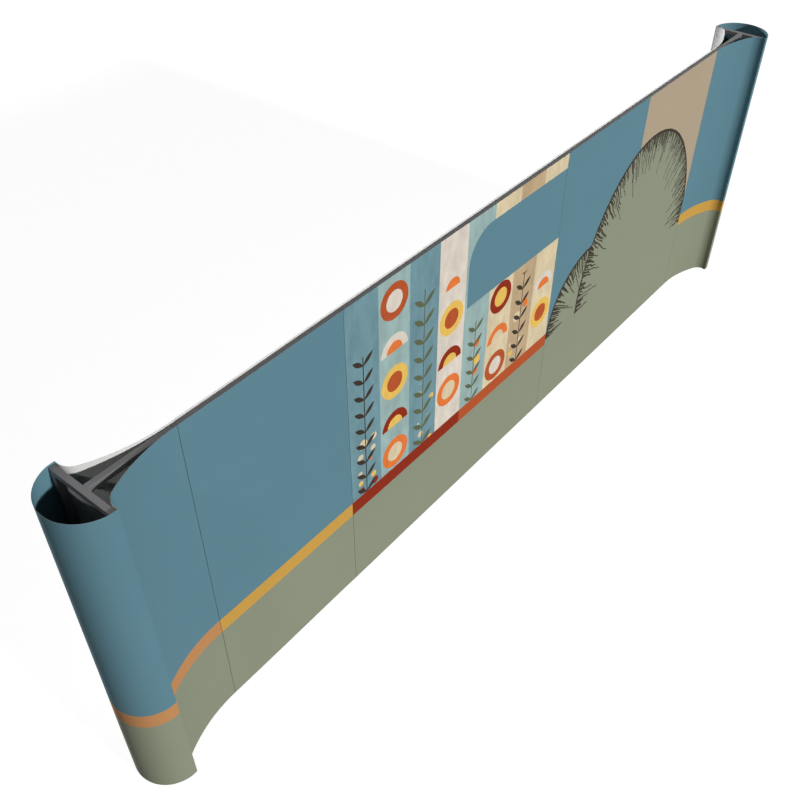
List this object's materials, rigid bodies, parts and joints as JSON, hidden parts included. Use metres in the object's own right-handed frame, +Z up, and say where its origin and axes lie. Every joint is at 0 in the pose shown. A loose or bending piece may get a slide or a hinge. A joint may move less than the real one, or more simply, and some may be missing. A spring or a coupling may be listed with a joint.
{
  "type": "display backwall",
  "caption": "Free-standing straight display wall with rounded ends: slim post-and-beam frame on levelling feet, with flexible printed panels that lift off both faces.",
  "frame": {"origin": "middle of the wall on the floor, under the long bar of the frame", "axes": "+X along the wall, to the right when seen from the printed front; +Y from the front to the back; +Z up"},
  "size_m": [6.256, 0.3884, 2.016],
  "materials": {
    "frame_aluminium": "satin grey anodised",
    "connector_plastic": "moulded black",
    "cap_plastic": "moulded grey",
    "zinc_steel": "zinc plated",
    "strip_steel": "dark coated",
    "foot_plastic": "moulded black",
    "panel_fixing": "magnetic rubber",
    "printed_front": "satin print",
    "plain_rear": "satin white"
  },
  "bodies": {
    "frame": {"upright_1": "frame_aluminium", "upright_2": "frame_aluminium", "upright_3": "frame_aluminium", "upright_4": "frame_aluminium", "upright_5": "frame_aluminium", "upright_6": "frame_aluminium", "left_end_front_upright": "frame_aluminium", "left_end_rear_upright": "frame_aluminium", "right_end_front_upright": "frame_aluminium", "right_end_rear_upright": "frame_aluminium", "top_beams": "frame_aluminium", "middle_beams": "frame_aluminium", "bottom_beams": "frame_aluminium", "left_end_top_beam": "frame_aluminium", "left_end_middle_beam": "frame_aluminium", "left_end_bottom_beam": "frame_aluminium", "right_end_top_beam": "frame_aluminium", "right_end_middle_beam": "frame_aluminium", "right_end_bottom_beam": "frame_aluminium", "beam_connectors": "connector_plastic", "connector_screws": "zinc_steel", "upright_caps": "cap_plastic", "foot_inserts": "connector_plastic", "panel_pegs": "zinc_steel", "steel_strips": "strip_steel"},
    "foot_1": {"foot_1": "foot_plastic"},
    "foot_2": {"foot_2": "foot_plastic"},
    "foot_3": {"foot_3": "foot_plastic"},
    "foot_4": {"foot_4": "foot_plastic"},
    "foot_5": {"foot_5": "foot_plastic"},
    "foot_6": {"foot_6": "foot_plastic"},
    "left_end_front_foot": {"left_end_front_foot": "foot_plastic"},
    "left_end_rear_foot": {"left_end_rear_foot": "foot_plastic"},
    "right_end_front_foot": {"right_end_front_foot": "foot_plastic"},
    "right_end_rear_foot": {"right_end_rear_foot": "foot_plastic"},
    "front_left_curve": {"front_left_curve": "printed_front", "front_left_curve_fixings": "panel_fixing"},
    "front_panel_1": {"front_panel_1": "printed_front", "front_panel_1_fixings": "panel_fixing"},
    "front_panel_2": {"front_panel_2": "printed_front", "front_panel_2_fixings": "panel_fixing"},
    "front_panel_3": {"front_panel_3": "printed_front", "front_panel_3_fixings": "panel_fixing"},
    "front_right_curve": {"front_right_curve": "printed_front", "front_right_curve_fixings": "panel_fixing"},
    "left_end_wrap": {"left_end_wrap": "printed_front", "left_end_wrap_fixings": "panel_fixing"},
    "right_end_wrap": {"right_end_wrap": "printed_front", "right_end_wrap_fixings": "panel_fixing"},
    "rear_left_curve": {"rear_left_curve": "plain_rear", "rear_left_curve_fixings": "panel_fixing"},
    "rear_panel_1": {"rear_panel_1": "plain_rear", "rear_panel_1_fixings": "panel_fixing"},
    "rear_panel_2": {"rear_panel_2": "plain_rear", "rear_panel_2_fixings": "panel_fixing"},
    "rear_panel_3": {"rear_panel_3": "plain_rear", "rear_panel_3_fixings": "panel_fixing"},
    "rear_right_curve": {"rear_right_curve": "plain_rear", "rear_right_curve_fixings": "panel_fixing"}
  },
  "joints": [
    {"name": "front_left_curve_lift", "type": "slide", "parent": "frame", "child": "front_left_curve", "axis": [0, 0, 1], "range_m": [0, 0.02]},
    {"name": "front_panel_1_lift", "type": "slide", "parent": "frame", "child": "front_panel_1", "axis": [0, 0, 1], "range_m": [0, 0.02]},
    {"name": "front_panel_2_lift", "type": "slide", "parent": "frame", "child": "front_panel_2", "axis": [0, 0, 1], "range_m": [0, 0.02]},
    {"name": "front_panel_3_lift", "type": "slide", "parent": "frame", "child": "front_panel_3", "axis": [0, 0, 1], "range_m": [0, 0.02]},
    {"name": "front_right_curve_lift", "type": "slide", "parent": "frame", "child": "front_right_curve", "axis": [0, 0, 1], "range_m": [0, 0.02]},
    {"name": "left_end_wrap_lift", "type": "slide", "parent": "frame", "child": "left_end_wrap", "axis": [0, 0, 1], "range_m": [0, 0.02]},
    {"name": "right_end_wrap_lift", "type": "slide", "parent": "frame", "child": "right_end_wrap", "axis": [0, 0, 1], "range_m": [0, 0.02]},
    {"name": "rear_left_curve_lift", "type": "slide", "parent": "frame", "child": "rear_left_curve", "axis": [0, 0, 1], "range_m": [0, 0.02]},
    {"name": "rear_panel_1_lift", "type": "slide", "parent": "frame", "child": "rear_panel_1", "axis": [0, 0, 1], "range_m": [0, 0.02]},
    {"name": "rear_panel_2_lift", "type": "slide", "parent": "frame", "child": "rear_panel_2", "axis": [0, 0, 1], "range_m": [0, 0.02]},
    {"name": "rear_panel_3_lift", "type": "slide", "parent": "frame", "child": "rear_panel_3", "axis": [0, 0, 1], "range_m": [0, 0.02]},
    {"name": "rear_right_curve_lift", "type": "slide", "parent": "frame", "child": "rear_right_curve", "axis": [0, 0, 1], "range_m": [0, 0.02]},
    {"name": "foot_1_screw", "type": "slide", "parent": "frame", "child": "foot_1", "axis": [0, 0, 1], "range_m": [-0.012, 0]},
    {"name": "foot_2_screw", "type": "slide", "parent": "frame", "child": "foot_2", "axis": [0, 0, 1], "range_m": [-0.012, 0]},
    {"name": "foot_3_screw", "type": "slide", "parent": "frame", "child": "foot_3", "axis": [0, 0, 1], "range_m": [-0.012, 0]},
    {"name": "foot_4_screw", "type": "slide", "parent": "frame", "child": "foot_4", "axis": [0, 0, 1], "range_m": [-0.012, 0]},
    {"name": "foot_5_screw", "type": "slide", "parent": "frame", "child": "foot_5", "axis": [0, 0, 1], "range_m": [-0.012, 0]},
    {"name": "foot_6_screw", "type": "slide", "parent": "frame", "child": "foot_6", "axis": [0, 0, 1], "range_m": [-0.012, 0]},
    {"name": "left_end_front_foot_screw", "type": "slide", "parent": "frame", "child": "left_end_front_foot", "axis": [0, 0, 1], "range_m": [-0.012, 0]},
    {"name": "left_end_rear_foot_screw", "type": "slide", "parent": "frame", "child": "left_end_rear_foot", "axis": [0, 0, 1], "range_m": [-0.012, 0]},
    {"name": "right_end_front_foot_screw", "type": "slide", "parent": "frame", "child": "right_end_front_foot", "axis": [0, 0, 1], "range_m": [-0.012, 0]},
    {"name": "right_end_rear_foot_screw", "type": "slide", "parent": "frame", "child": "right_end_rear_foot", "axis": [0, 0, 1], "range_m": [-0.012, 0]}
  ]
}
